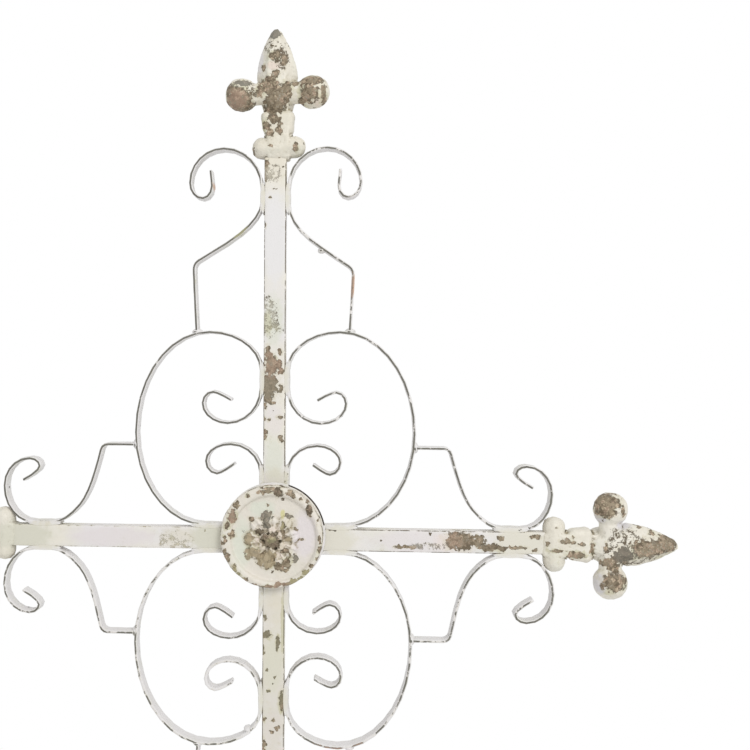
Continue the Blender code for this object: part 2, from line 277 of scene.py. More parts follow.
def painted_bar(node, axis, ends):
    bar = node_copy(node)
    for end in ends:
        lengthen(bar, axis, end)
    soften(bar, corner=0.8 * MM, segments=2, grain=16 * MM, depth=0.3 * MM, pitch=3 * MM)
    smooth(bar, 45)
    return bar


# Castings. The pattern of the fleur-de-lis stands on z = 0 with its axis along +Z.


def collar():
    """The round-ended roll across the shank, with full ears and a flatter middle."""
    width, height, depth, low = 39.6 * MM, 16 * MM, 18.6 * MM, 1.4 * MM
    radius = height / 2
    centre = Vector((0, -ROLL_CENTRE, low + radius))
    bpy.ops.mesh.primitive_uv_sphere_add(
        segments=40, ring_count=25, radius=radius, location=centre, rotation=(0, math.pi / 2, 0)
    )
    roll = bpy.context.active_object
    settle(roll)
    for side in (-1, 1):
        choose(roll, lambda place: place.x * side > 0)
        bpy.ops.transform.translate(value=(side * (width / 2 - radius), 0, 0))
        leave()
    choose(roll, lambda place: True)
    bpy.ops.transform.resize(value=(1, depth / height, 1), center_override=centre)
    leave()
    return roll


def bead():
    """The thick block between collar and body, with well rounded corners."""
    bpy.ops.mesh.primitive_cube_add(size=1, location=(0, -ROLL_CENTRE, 26.3 * MM))
    made = bpy.context.active_object
    made.scale = (26.2 * MM, 18.6 * MM, 18 * MM)
    settle(made)
    choose(made, lambda place: place.z < 20 * MM)
    bpy.ops.transform.resize(value=(0.8, 0.95, 1), center_override=(0, -ROLL_CENTRE, 17.3 * MM))
    leave()
    apply(made, "BEVEL", width=5 * MM, segments=6)
    return made


def saddle():
    """The cast metal that runs over the end of the bar and joins collar and bead in front."""
    low, high, front = 1 * MM, 27 * MM, -15.4 * MM
    bpy.ops.mesh.primitive_cube_add(size=1, location=(0, front / 2, (low + high) / 2))
    made = bpy.context.active_object
    made.scale = (16.4 * MM, -front, high - low)
    settle(made)
    choose(made, lambda place: True)
    bpy.ops.mesh.bisect(plane_co=(0, 0, 8 * MM), plane_no=(0, 0, 1))
    leave()
    choose(made, lambda place: place.z < 2 * MM and place.y < -1 * MM)
    bpy.ops.transform.translate(value=(0, 2.8 * MM, 0))
    leave()
    apply(made, "BEVEL", width=1.2 * MM, segments=3)
    return made


def bud():
    """The middle petal and the body below it, drawn up ring by ring from an eight-sided circle."""
    # Height up the casting, half width and depth at each ring, in millimetres
    rings = (
        (33.0, 8.8, 12.2),
        (38.2, 11.0, 14.6),
        (43.8, 13.3, 16.2),
        (50.0, 13.9, 16.4),
        (56.2, 13.9, 16.2),
        (61.0, 15.2, 15.6),
        (68.0, 14.2, 16.6),
        (75.2, 12.0, 16.3),
        (81.9, 9.8, 14.8),
        (87.0, 7.4, 12.8),
        (90.6, 5.8, 11.2),
        (93.2, 4.6, 10.0),
        (95.0, 3.2, 9.0),
    )
    low, width, depth = rings[0]
    bpy.ops.mesh.primitive_circle_add(
        vertices=8, radius=1 * MM, fill_type="NGON", location=(0, 0, low * MM), rotation=(0, 0, math.pi / 8)
    )
    made = bpy.context.active_object
    settle(made)
    flat = 1 / math.cos(math.pi / 8)
    choose(made, lambda place: True)
    bpy.ops.transform.resize(value=(width * flat, depth * flat, 1), center_override=(0, 0, low * MM))
    for height, wide, deep in rings[1:]:
        bpy.ops.mesh.extrude_region_move(TRANSFORM_OT_translate={"value": (0, 0, (height - low) * MM)})
        bpy.ops.transform.resize(value=(wide / width, deep / depth, 1), center_override=(0, 0, height * MM))
        low, width, depth = height, wide, deep
    bpy.ops.mesh.select_all(action="SELECT")
    bpy.ops.mesh.normals_make_consistent(inside=False)
    leave()
    return made


def ball(side):
    """A ball at the end of the stem, a little flattened in front."""
    centre = (side * BALL_SPREAD, -BALL_CENTRE, BALL_ALONG)
    bpy.ops.mesh.primitive_uv_sphere_add(
        segments=40, ring_count=24, radius=BALL_RADIUS + 0.4 * MM, location=centre
    )
    made = bpy.context.active_object
    settle(made)
    choose(made, lambda place: True)
    bpy.ops.transform.resize(value=(1, 0.95, 1), center_override=centre)
    leave()
    return made


def ball_arm():
    """The oval stem between the balls, through the body."""
    bpy.ops.mesh.primitive_cylinder_add(
        vertices=32,
        radius=1,
        depth=2 * BALL_SPREAD,
        location=(0, -BALL_CENTRE, BALL_ALONG),
        rotation=(0, math.pi / 2, 0),
    )
    made = bpy.context.active_object
    made.scale = (8.1 * MM, 7.2 * MM, 1)
    settle(made)
    return made


def shank():
    bpy.ops.mesh.primitive_cube_add(size=1, location=(0, -BAR_DEPTH / 2 + 2 * MM, 20 * MM))
    made = bpy.context.active_object
    made.scale = (15.6 * MM, BAR_DEPTH + 3.6 * MM, 40 * MM)
    settle(made)
    apply(made, "BEVEL", width=0.8 * MM, segments=2)
    return made


def fused(lumps, voxel, rounds):
    """One skin over all the lumps, with the creases between them filled as in a casting."""
    take(*lumps)
    bpy.ops.object.join()
    whole = lumps[0]
    apply(whole, "REMESH", mode="VOXEL", voxel_size=voxel)
    apply(whole, "SMOOTH", factor=0.5, iterations=rounds)
    return whole


def cut_flat(obj, y):
    """Cuts the casting off flat at its back."""
    choose(obj, lambda place: True)
    bpy.ops.mesh.bisect(
        plane_co=(0, y, 0), plane_no=(0, 1, 0), use_fill=True, clear_outer=True, threshold=0.001 * MM
    )
    leave()


def finial_pattern():
    """The whole fleur-de-lis, grown a little first, because its rough skin only sinks."""
    lumps = [shank(), collar(), bead(), saddle(), bud(), ball_arm(), ball(-1), ball(1)]
    pattern = fused(lumps, voxel=0.5 * MM, rounds=14)
    apply(pattern, "DISPLACE", strength=0.9 * MM, mid_level=0.0)
    roughen(pattern, grain=8 * MM, depth=1.3 * MM)
    roughen(pattern, grain=2.5 * MM, depth=0.5 * MM)
    return pattern


def place_finial(pattern, node, turn, arm, shift, tilt):
    """A copy of the pattern on the end of an arm that is turned this far clockwise from upright."""
    finial = copied(pattern, "cast_" + node)
    cut_flat(finial, 0)
    radians = math.radians(turn)
    lift = arm + GAP + BAR_WIDTH / 2 * math.tan(math.radians(abs(tilt)))
    finial.rotation_euler = (0, radians + math.radians(tilt), 0)
    sine, cosine = math.sin(radians), math.cos(radians)
    finial.location = (shift * cosine + lift * sine, 0, lift * cosine - shift * sine)
    settle(finial)
    smooth(finial, 50)
    return finial


def leaf_pattern(length, width, thick):
    """One leaf of the rosette, lying along +X: an egg with a furrow down its middle."""
    bpy.ops.mesh.primitive_uv_sphere_add(segments=28, ring_count=20, radius=1)
    leaf = bpy.context.active_object
    leaf.scale = (length / 2, thick, width / 2)
    settle(leaf)
    choose(leaf, lambda place: place.x < 0)
    bpy.ops.transform.resize(value=(1, 0.8, 0.7), center_override=(0, 0, 0))
    leave()
    choose(leaf, lambda place: abs(place.z) < 0.12 * width and place.y < 0)
    bpy.ops.transform.translate(value=(0, 0.3 * thick, 0))
    leave()
    return leaf


def leaves_around(pattern, count, first, reach, depth):
    """Copies of a leaf in a ring about the rosette's centre, some a little longer and some broader."""
    made = []
    for i in range(count):
        angle = math.radians(first + 360 / count * i)
        uneven = 1 + 0.07 * math.sin(2.3 * i)
        leaf = copied(pattern, "leaf")
        leaf.rotation_euler = (0, -angle, 0)
        leaf.scale = (uneven, 1, 2 - uneven)
        out = Vector((math.cos(angle), 0, math.sin(angle))) * reach * uneven
        leaf.location = ROSETTE_CENTRE + out + Vector((0, MEDALLION_BACK - depth, 0))
        settle(leaf)
        made.append(leaf)
    bpy.data.objects.remove(pattern)
    return made


def plate():
    """The medallion's disc with a dished field. Its back edge is cast a little askew."""
    across = (math.pi / 2, 0, 0)
    bpy.ops.mesh.primitive_cylinder_add(
        vertices=128,
        radius=MEDALLION_RADIUS - 0.3 * MM,
        depth=7 * MM,
        location=MEDALLION_CENTRE + Vector((0, MEDALLION_BACK - 2 * MM, 0)),
        rotation=across,
    )
    disc = bpy.context.active_object
    settle(disc)
    front = min(vertex.co.y for vertex in disc.data.vertices)
    choose(disc, lambda place: place.y > front + 1 * MM)
    bpy.ops.transform.translate(value=(1.1 * MM, 0, 0.8 * MM))
    leave()
    choose(disc, lambda place: place.y < front + 0.1 * MM)
    # The dish goes down in steps: how far in and how far down each one goes, in millimetres
    for inset, sink in ((5, 0.2), (6, 0.4), (8, 0.4), (8, 0.2)):
        bpy.ops.mesh.inset(thickness=inset * MM, depth=0)
        bpy.ops.transform.translate(value=(0, sink * MM, 0))
    leave()
    return disc


def lip():
    """The thin lip of the casting that stands out behind the rim at the upper right."""
    bpy.ops.mesh.primitive_cylinder_add(
        vertices=128,
        radius=LIP_RADIUS,
        depth=1.1 * MM,
        location=LIP_CENTRE + Vector((0, MEDALLION_BACK - 0.56 * MM, 0)),
        rotation=(math.pi / 2, 0, 0),
    )
    made = bpy.context.active_object
    made.name = "medallion_lip"
    settle(made)
    apply(made, "BEVEL", width=0.3 * MM, segments=2, limit_method="ANGLE")
    smooth(made, 45)
    return made


def rim():
    """The rolled rim, a little proud of the field, and wider at the upper left, where the mould slipped."""
    minor = RIM_WIDTH / 2
    centre = MEDALLION_CENTRE + Vector((0, MEDALLION_BACK - 8.3 * MM + 0.85 * minor, 0))
    bpy.ops.mesh.primitive_torus_add(
        major_segments=128,
        minor_segments=24,
        major_radius=MEDALLION_RADIUS - minor,
        minor_radius=minor,
        location=centre,
        rotation=(math.pi / 2, 0, 0),
    )
    made = bpy.context.active_object
    settle(made)
    choose(made, lambda place: True)
    bpy.ops.transform.resize(value=(1, 0.85, 1), center_override=centre)
    leave()
    ridge = MEDALLION_RADIUS - minor
    choose(made, lambda place: math.hypot(place.x - centre.x, place.z - centre.z) < ridge - 0.5 * MM)
    bpy.ops.transform.translate(value=(1.6 * MM, 0, -1.1 * MM))
    leave()
    return made


def boss():
    bpy.ops.mesh.primitive_uv_sphere_add(segments=24, ring_count=16, radius=1)
    made = bpy.context.active_object
    made.scale = (4.2 * MM, 3 * MM, 4.2 * MM)
    made.location = ROSETTE_CENTRE + Vector((0, MEDALLION_BACK - 5.2 * MM, 0))
    settle(made)
    return made


def medallion():
    """The round plaque: rolled rim, dished field and two rings of leaves about a small boss."""
    lumps = [plate(), rim(), boss()]
    outer = leaf_pattern(length=13.5 * MM, width=11.4 * MM, thick=3.4 * MM)
    lumps += leaves_around(outer, count=9, first=14, reach=13.6 * MM, depth=4.9 * MM)
    inner = leaf_pattern(length=8.5 * MM, width=7.2 * MM, thick=2.6 * MM)
    lumps += leaves_around(inner, count=6, first=30, reach=6.4 * MM, depth=6.1 * MM)
    whole = fused(lumps, voxel=0.4 * MM, rounds=7)
    whole.name = "cast_medallion"
    roughen(whole, grain=6 * MM, depth=0.7 * MM)
    roughen(whole, grain=1.8 * MM, depth=0.3 * MM)
    cut_flat(whole, MEDALLION_BACK)
    smooth(whole, 50)
    return whole


# Shader maths


class Amount:
    """A number that changes over the surface. Python's operators add Math nodes to it."""

    def __init__(self, paint, socket):
        self.paint = paint
        self.socket = socket

    def math(self, operation, *values):
        made = self.paint.node("Math", {"operation": operation}, dict(enumerate(values)))
        return Amount(self.paint, made.outputs[0])

    def __add__(self, other):
        return self.math("ADD", self, other)

    __radd__ = __add__

    def __sub__(self, other):
        return self.math("SUBTRACT", self, other)

    def __rsub__(self, other):
        return self.math("SUBTRACT", other, self)

    def __mul__(self, other):
        return self.math("MULTIPLY", self, other)

    __rmul__ = __mul__

    def __abs__(self):
        return self.math("ABSOLUTE", self)

    def most(self, other):
        return self.math("MAXIMUM", self, other)

    def least(self, other):
        return self.math("MINIMUM", self, other)

    def between(self, low, high):
        """0 up to low, 1 from high, and smooth between them. Low may be the larger one."""
        made = self.paint.node(
            "MapRange",
            {"interpolation_type": "SMOOTHSTEP"},
            {"Value": self, "From Min": low, "From Max": high},
        )
        return Amount(self.paint, made.outputs[0])


class Paint:
    """One material and the nodes that make it."""

    def __init__(self, name):
        self.material = bpy.data.materials.new(name)
        self.material.use_nodes = True
        self.tree = self.material.node_tree
        self.shader = self.tree.nodes["Principled BSDF"]
        places = self.node("TexCoord").outputs
        self.spot = places["Object"]
        self.normal = places["Normal"]
        parts = self.node("SeparateXYZ", {}, {0: self.spot}).outputs
        self.x, self.y, self.z = (Amount(self, socket) for socket in parts)

    def node(self, kind, settings=None, values=None):
        """Any node: its type, then its settings, then the values or links of its sockets."""
        made = self.tree.nodes.new("ShaderNode" + kind)
        for key, value in (settings or {}).items():
            setattr(made, key, value)
        for key, value in (values or {}).items():
            self.feed(made.inputs[key], value)
        return made

    def feed(self, socket, value):
        if isinstance(value, Amount):
            value = value.socket
        if isinstance(value, bpy.types.NodeSocket):
            self.tree.links.new(value, socket)
        else:
            socket.default_value = value

    def cloud(self, size, seed, detail=3.0, rough=0.55, spot=None):
        """A random cloud from 0 to 1, with lumps of this size."""
        made = self.node(
            "TexNoise",
            {"noise_dimensions": "4D"},
            {"Vector": spot or self.spot, "W": seed, "Scale": 1 / size, "Detail": detail, "Roughness": rough},
        )
        return Amount(self, made.outputs[0])

    def pushed(self, size, amount, seed):
        """The place on the surface, pushed about at random, for shapes with ragged outlines."""
        noise = self.node(
            "TexNoise",
            {"noise_dimensions": "4D"},
            {"Vector": self.spot, "W": seed, "Scale": 1 / size, "Detail": 3.0, "Roughness": 0.6},
        ).outputs["Color"]
        half = (0.5, 0.5, 0.5)
        centred = self.node("VectorMath", {"operation": "SUBTRACT"}, {0: noise, 1: half}).outputs[0]
        pushed = self.node("VectorMath", {"operation": "SCALE"}, {0: centred, "Scale": amount}).outputs[0]
        return self.node("VectorMath", {"operation": "ADD"}, {0: pushed, 1: self.spot}).outputs[0]

    def flakes(self, size, spot):
        """Flakes of about this size: the middle of the nearest one, a chance from 0 to 1 that is the same
        all over it, and how far off its middle is, in sizes."""
        made = self.node("TexVoronoi", {}, {"Vector": spot, "Scale": 1 / size})
        chance = self.node("SeparateColor", {}, {0: made.outputs["Color"]}).outputs[0]
        return made.outputs["Position"], Amount(self, chance), Amount(self, made.outputs["Distance"])

    def cracks(self, size, spot):
        """How far off the nearest crack is, in sizes of the flakes between the cracks."""
        made = self.node("TexVoronoi", {"feature": "DISTANCE_TO_EDGE"}, {"Vector": spot, "Scale": 1 / size})
        return Amount(self, made.outputs["Distance"])

    def part_way(self, share, start, end):
        """A place this share of the way from one place to another."""
        return self.node("Mix", {"data_type": "VECTOR"}, {0: share, 4: start, 5: end}).outputs[1]

    def facing(self, way):
        """1 where the surface looks this way, 0 where it looks across it."""
        made = self.node("VectorMath", {"operation": "DOT_PRODUCT"}, {0: self.normal, 1: way.normalized()})
        return Amount(self, made.outputs["Value"])

    def from_centre(self, centre):
        """How far off the line through the centre, square to the wall, a place is."""
        away = self.node("VectorMath", {"operation": "SUBTRACT"}, {0: self.spot, 1: centre}).outputs[0]
        flat = self.node("VectorMath", {"operation": "MULTIPLY"}, {0: away, 1: (1, 0, 1)}).outputs[0]
        return Amount(self, self.node("VectorMath", {"operation": "LENGTH"}, {0: flat}).outputs["Value"])

    def pointed(self):
        """Above one half on the parts of a casting that stand out, and below it in the creases."""
        return Amount(self, self.node("NewGeometry").outputs["Pointiness"])

    def patches(self, places, spot):
        """1 at the middle of the nearest patch, 0 at its edge and less outside. Patches are in millimetres:
        x, z, half width, half height."""
        nearest = None
        for x, z, wide, high in places:
            scale = Vector((1 / wide, 0, 1 / high)) / MM
            shift = (-x / wide, 0, -z / high)
            put = self.node("VectorMath", {"operation": "MULTIPLY_ADD"}, {0: spot, 1: scale, 2: shift})
            length = self.node("VectorMath", {"operation": "LENGTH"}, {0: put.outputs[0]})
            away = Amount(self, length.outputs["Value"])
            nearest = nearest.least(away) if nearest else away
        return 1 - nearest

    def mix(self, share, under, over):
        """Colour over laid on colour under, by share."""
        made = self.node("Mix", {"data_type": "RGBA"}, {0: share, 6: under, 7: over})
        return made.outputs[2]


def tone(red, green, blue):
    """A colour given as it looks on screen, from 0 to 255."""
    return (*((level / 255) ** 2.2 for level in (red, green, blue)), 1.0)


CREAM = tone(224, 219, 206)
COOL = tone(221, 218, 217)
BRIGHT = tone(222, 220, 219)
GREEN_WHITE = tone(212, 213, 199)
DINGY = tone(203, 195, 172)
LILAC = tone(218, 211, 211)
SHADE_LILAC_GREY = tone(207, 204, 208)
SAGE = tone(205, 203, 187)
WELD_CREAM = tone(214, 210, 196)
CAST_CREAM = tone(219, 213, 198)
CAST_GREY = tone(216, 210, 194)
CAST_WHITE = tone(224, 219, 207)
PLAQUE_GREY = tone(216, 210, 198)
PLAQUE_WHITE = tone(222, 215, 205)
# Dark brown for the creases of the castings: dirt and painted shade
CREASE_DIRT_AND_SHADE = tone(140, 127, 98)
OLIVE = tone(176, 172, 130)
YELLOW = tone(206, 200, 132)
PINK = tone(224, 206, 193)
RUST = tone(196, 158, 130)
IRON = tone(148, 134, 112)
IRON_DARK = tone(100, 88, 70)
IRON_PINK = tone(170, 142, 124)
IRON_LIGHT_AND_GLINT = tone(206, 192, 164)
IRON_TAN = tone(174, 160, 132)
IRON_MOSS = tone(126, 122, 98)
IRON_DUN = tone(132, 124, 106)
IRON_SLATE = tone(114, 110, 100)
GREY_IRON = tone(128, 127, 118)
GREY_DARK = tone(94, 92, 84)
SPECK_DARK = tone(150, 144, 116)
SPECK_LIGHT = tone(190, 184, 156)
EDGE = tone(72, 62, 48)
NEAR_BLACK = tone(40, 36, 32)


def old_paint(
    name,
    places=(),
    specks=(),
    rub=None,
    chips=0.5,
    flecks=0.3,
    crease_dirt_and_shade=0.0,
    crease_dirt_and_shade_in=(),
    faded=0.0,
    coat=(COOL, CREAM),
    iron=(IRON_DARK, IRON),
    warmth=1.0,
    iron_tints=(),
    coat_tints=(),
    relief=0.35,
):
    """Old thick paint, worn through in the places given, where rub says, and in scattered chips. Flecks of
    it are left inside the worn places, and faded says how faint the specks are. A tint is a colour, its
    patches and its share."""
    paint = Paint(name)
    large = paint.cloud(50 * MM, 1.0)
    middle = paint.cloud(13 * MM, 2.0)
    small = paint.cloud(3.5 * MM, 3.0, detail=4.0)
    fine = paint.cloud(0.9 * MM, 4.0)
    ragged = paint.pushed(2.5 * MM, 2.6 * MM, 7.0)
    cell, chance, _ = paint.flakes(2.4 * MM, ragged)
    broken = paint.part_way(0.6, ragged, cell)

    colour = paint.mix(large.between(0.35, 0.65), *coat)
    colour = paint.mix(middle.between(0.45, 0.75) * 0.45, colour, GREEN_WHITE)
    colour = paint.mix(small.between(0.5, 0.8) * 0.3, colour, DINGY)
    colour = paint.mix(fine.between(0.58, 0.8) * 0.25, colour, DINGY)
    for tint, spots, share in coat_tints:
        there = paint.patches(spots, ragged) + (small - 0.5) * 0.6
        colour = paint.mix(there.between(0.0, 0.5) * share, colour, tint)

    _, odds, away = paint.flakes(7 * MM, ragged)
    size = 0.17 + (fine - 0.5) * 0.5 + (odds - 1) * 0.5
    rare = 0.88 - 0.2 * chips
    wear = odds.between(rare, rare + 0.02) * (size - away).between(0.0, 0.04)
    stain = wear * 0.5
    inner = 0.5
    if places:
        near = paint.patches(places, broken)
        near = near + 0.1 + (chance - 0.5) * 0.45 + (small - 0.5) * 0.5 + (fine - 0.5) * 0.5
        left = (small * 0.5 + fine * 0.5).between(0.55, 0.59) * flecks
        wear = wear.most(near.between(0.0, 0.1) * (1 - left))
        stain = stain.most(near.between(-0.5, 0.0) * 0.8)
        inner = near.between(0.05, 0.4)
    if specks:
        zone = paint.patches(specks, ragged).between(-0.2, 0.5)
        dots = (fine * 0.55 + small * 0.45 + zone * 0.05).between(0.575, 0.61) * zone.between(0.0, 0.15)
        cracks = paint.cracks(3.2 * MM, ragged).between(0.1, 0.04) * small.between(0.47, 0.55) * zone
        wear = wear.most(dots).most(cracks * 0.9)
        stain = stain.most(zone * small.between(0.4, 0.6) * 0.6)
    if rub:
        rubbed = rub(paint) + (middle - 0.5) * 1.1 + (small - 0.5) * 0.8 + (fine - 0.5) * 0.5
        wear = wear.most(rubbed.between(0.45, 0.6))
        stain = stain.most(rubbed.between(0.2, 0.5) * 0.5)
    # Darkens the creases towards dark brown: partly dirt, partly painted shade in the creases
    if crease_dirt_and_shade:
        dirty_shaded_creases = paint.pointed().between(0.497, 0.462) * (small * 0.7 + middle * 0.3).between(0.3, 0.55)
        if crease_dirt_and_shade_in:
            dirty_shaded_creases = dirty_shaded_creases * paint.patches(crease_dirt_and_shade_in, ragged).between(-0.1, 0.1)
        colour = paint.mix(dirty_shaded_creases * crease_dirt_and_shade, colour, CREASE_DIRT_AND_SHADE)

    bare = paint.mix((small * 0.6 + fine * 0.4).between(0.4, 0.56) * inner, *iron)
    bare = paint.mix(chance.between(0.6, 0.85) * inner * 0.5 * warmth, bare, IRON_PINK)
    # Light flecks in the bare iron: the iron's lighter tone, and painted glints
    bare = paint.mix((fine * 0.8 + chance * 0.2).between(0.53, 0.66) * inner * 0.7 * warmth, bare, IRON_LIGHT_AND_GLINT)
    for tint, spots, share in iron_tints:
        bare = paint.mix(paint.patches(spots, broken).between(-0.2, 0.2) * share, bare, tint)
    colour = paint.mix(stain * 0.6, colour, DINGY)
    colour = paint.mix(stain * middle.between(0.5, 0.6) * 0.5, colour, OLIVE)
    # A dark line round the edge of every worn place: painted shade for the shadow of the paint's thickness
    painted_chip_edge_shade = wear.between(0.0, 0.5) * wear.between(1.0, 0.5)
    painted = colour
    colour = paint.mix(wear, colour, bare)
    colour = paint.mix(painted_chip_edge_shade * 0.7, colour, iron[0])
    if specks and faded:
        colour = paint.mix(zone * faded, colour, painted)

    paint.feed(paint.shader.inputs["Base Color"], colour)
    paint.feed(paint.shader.inputs["Roughness"], 0.5 + wear * 0.15 + (fine - 0.5) * 0.2)
    paint.feed(paint.shader.inputs["Metallic"], wear * 0.1)
    height = (1 - wear) + fine * 0.2 + small * relief + middle * relief
    bump = paint.node("Bump", {}, {"Strength": 0.8, "Distance": 0.5 * MM, "Height": height})
    paint.feed(paint.shader.inputs["Normal"], bump.outputs[0])
    return paint.material


def on_crest(strength):
    """Rubs a strip's front edge in one broken line, and less where it is welded to a bar."""

    def rub(paint):
        line = paint.facing(Vector((-0.28, -1, -0.16))).between(0.82, 0.93)
        by_bar = abs(paint.x).least(abs(paint.z)).between(11.5 * MM, 10.0 * MM)
        return line * (strength - by_bar * 0.6)

    return rub


def on_corners(strength):
    """Rubs the long front corners of a bar in short ticks."""

    def rub(paint):
        corner = paint.facing(Vector((0, -1, 0)))
        return corner.between(0.99, 0.93) * corner.between(0.15, 0.4) * strength

    return rub


def on_high_parts(strength):
    """Rubs the parts of a casting that stand out."""
    return lambda paint: paint.pointed().between(0.5, 0.58) * strength


def on_rim(strength):
    """Rubs the medallion's outermost edge in a thin broken line."""
    return lambda paint: paint.from_centre(MEDALLION_CENTRE).between(35.9 * MM, 36.6 * MM) * strength


def on_lip(paint):
    """Makes the lip's edge near black between the upper and the right arm."""
    edge = paint.from_centre(LIP_CENTRE).between(LIP_RADIUS - 1.1 * MM, LIP_RADIUS - 0.8 * MM)
    return edge * paint.x.between(10 * MM, 12 * MM) * paint.z.between(10 * MM, 12 * MM) * 2


# Worn places, in millimetres: x, z, half width, half height
UPRIGHT_WORN = (
    (-4.5, 134, 2, 4.5), (-2.5, 125, 4.5, 7.5), (3, 125.5, 1.5, 3.5), (4, 135, 1.5, 2.5), (4.5, 120.5, 2, 2),
    (-3.5, 110.5, 6, 7.5), (4.5, 108.5, 1.5, 3), (-4.5, 101, 3, 3.5), (-1, 97.5, 2, 1), (-6.5, 95.5, 1, 2.5),
    (-3, 85.5, 1.5, 1), (3.5, 87.5, 2, 1.5), (-7, 86.5, 1, 1), (-6.5, 75, 1.5, 3), (5, 72, 1.5, 2),
    (-5.5, -57, 1, 2.5), (-5, -69, 3.5, 2.5), (3, -75, 1, 5.5), (-8, -79, 1.5, 5), (-4.5, -94, 1, 1),
    (1, -99, 1, 1), (-3, -109, 1, 1), (6.5, -117, 2, 7), (-6.5, -130, 1, 1.5), (0, -130, 1, 1),
    (3, -135.5, 1.5, 1.5), (-1, -138.5, 1, 1), (-7, -149, 2, 4.5), (-6.5, 268.5, 2, 4.5), (-7, 260, 1, 3),
    (0, 252, 1.5, 0.5), (-3.5, 246, 1, 1), (-7, 225, 1, 2), (-2, -232, 4.5, 9), (3, -246, 2.5, 5),
    (-5, -318, 2.5, 6), (1, -402, 3, 3),
)
UPRIGHT_SPECKS = ((-4, 160, 6, 14.5), (-2, 151, 6.5, 6), (-2, 263, 6, 7), (2, -300, 6, 18))
UPRIGHT_TINTS = (
    (BRIGHT, ((0, 215, 12, 45),), 1.0),
    (GREEN_WHITE, ((-1, 157, 9, 24), (0, 56, 9, 20), (0, -90, 9, 24), (0, -225, 9, 30)), 0.8),
    (LILAC, ((0, 85, 9, 14), (0, -140, 9, 22)), 0.5),
    (DINGY, ((0, -50, 12, 18), (0, 42, 12, 12), (0, -105, 20, 70), (0, -440, 9, 30)), 0.4),
    (CAST_CREAM, ((0, 276, 16, 22), (0, -458, 16, 22)), 1.0),
    (OLIVE, ((6.5, -60, 1.5, 30), (6, -117, 4, 10), (-5, 155, 4, 12)), 0.5),
)
UPRIGHT_IRON = (
    (IRON_MOSS, ((0, -82, 12, 46),), 0.7),
    (IRON_PINK, ((-1, 125, 8, 11),), 0.35),
    (IRON_DUN, ((-3, 108, 8, 8),), 0.6),
)
RIGHT_WORN = (
    (132.5, 0.5, 9.5, 6), (144, 0, 6, 3), (153.5, -3.5, 8, 2.5), (161, 3, 2, 2), (161.5, -4.5, 3, 2),
    (173, -3, 6.5, 1), (185.5, 4.5, 3, 1.5), (145, 4, 3.5, 1.5), (185.5, -5, 2, 1), (93.5, -4, 8, 1),
    # The place at x 41.5, z 8, beside the medallion, is a painted shadow of the gap there
    (41.5, 8, 3.5, 1.5),
)
RIGHT_SPECKS = ((110, -3, 14, 2.5),)
RIGHT_TINTS = (
    (WELD_CREAM, ((44, 0, 18, 14), (176, 0, 24, 14)), 0.9),
    (LILAC, ((100, 0, 40, 10),), 0.6),
    (PINK, ((128, 0, 18, 9),), 0.4),
)
RIGHT_IRON = (
    (IRON_PINK, ((128, 1, 6, 6),), 0.3),
    (IRON_DARK, ((155, -4, 9, 4), (138, -1, 4, 5)), 0.45),
    # Near black beside the medallion: painted shadow of the gap there
    (EDGE, ((41.5, 8, 6, 4),), 0.9),
)
LEFT_SPECKS = ((-71, -2, 13, 7),)
LEFT_TINTS = (
    (SAGE, ((-46, 0, 20, 14), (-184, 0, 28, 14)), 0.9),
    (DINGY, ((-70, 0, 16, 9),), 0.4),
    (LILAC, ((-118, 0, 42, 9),), 0.8),
)
TOP_WORN = (
    (-1, 363.5, 4.5, 4), (-0.5, 346.5, 4.5, 2.5), (6.5, 344, 2, 5.5), (-8.5, 338, 1.5, 2.5),
    (0, 333, 3.5, 2.5),
    (-3.5, 324.5, 7, 6.5), (8, 320.5, 4, 7.5), (2.5, 317.5, 8, 5), (-11, 320.5, 2.5, 5), (-1, 311.5, 7, 7),
    (-1, 301.5, 5, 3), (-6, 296.5, 2.5, 2.5), (3, 295, 2, 5), (-3.5, 291, 2.5, 3.5), (-25.5, 314.5, 9.5, 8),
    (-23.5, 326.5, 5.5, 2.5), (-32, 322.5, 3, 3), (25.5, 327.5, 8.5, 4), (24.5, 318.5, 7, 6),
    (34.5, 317.5, 2, 6.5), (18.5, 313, 2, 4), (14, 326.5, 3, 2), (15, 281, 2, 3), (-3.5, 282, 1.5, 1),
    (-16, 278.5, 1, 3.5), (3, 272.5, 1, 2),
)
TOP_SPECKS = ((-2.5, 353, 7.5, 5), (3.5, 345, 6.5, 9.5), (9, 356.5, 2.5, 3.5), (-22.5, 323, 9.5, 6))
TOP_TINTS = (
    (OLIVE, ((-11, 322, 5, 6), (22, 330, 9, 3), (-9, 297, 4, 6)), 0.6),
    (PINK, ((-26, 320, 8, 4), (-1, 339, 7, 4), (30, 314, 4, 5)), 0.7),
    # Cool grey down the petal's left facet: painted shade
    (COOL, ((-12, 345, 4, 14),), 0.9),
)
TOP_IRON = ((GREY_IRON, ((-1, 365, 7, 7), (-24, 327, 8, 4)), 0.7), (IRON_PINK, ((-27, 315, 7, 6),), 0.5))
RIGHT_FINIAL_WORN = (
    (245.5, -7, 6.5, 5.5), (262.5, -2, 13, 6), (275.5, 1.5, 7, 6), (257.5, 12.5, 2, 1), (265.5, 8, 2, 2),
    (233, -1.5, 1, 4), (233, 30, 9, 5.5), (232.5, 23.5, 6, 3.5), (244, 24.5, 1.5, 4), (238, -25.5, 8, 6.5),
    (238.5, -16, 4, 3), (235, -12, 5, 2.5), (212.5, -7.5, 6.5, 2.5), (206.5, 2, 4.5, 1.5), (216, 0, 2, 1),
    (210, 5, 1, 1), (224, -3, 1.5, 4), (201.5, -4.5, 6.5, 1), (199, 12, 1, 1), (193.5, 0, 1.5, 1.5),
)
